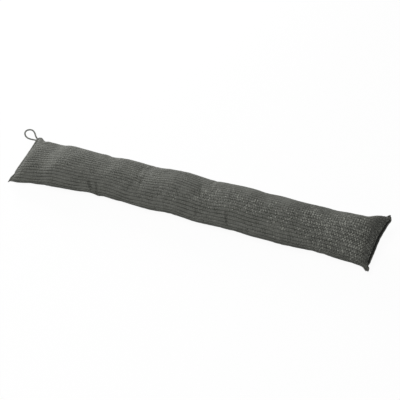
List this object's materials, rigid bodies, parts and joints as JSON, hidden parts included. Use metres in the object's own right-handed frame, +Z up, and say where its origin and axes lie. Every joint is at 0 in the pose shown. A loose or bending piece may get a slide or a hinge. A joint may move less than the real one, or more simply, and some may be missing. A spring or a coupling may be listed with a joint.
{
  "type": "draught excluder",
  "caption": "Long, slim, filled draught excluder of woven grey cloth, sewn flat at its ends, with a thin cord hanging loop at one corner.",
  "frame": {"origin": "on the surface the cushion lies on, under the middle of the cushion's box", "axes": "+X along the cushion, from the end with the loop to the plain end; +Y towards the back edge, where the loop's corner is; +Z up"},
  "size_m": [1.0016, 0.2081, 0.0758],
  "materials": {
    "cloth": "woven grey melange with rows along the length",
    "cord": "thin lighter grey twisted cord"
  },
  "bodies": {
    "root": {"cushion": "cloth", "hang_loop": "cord"}
  },
  "joints": []
}
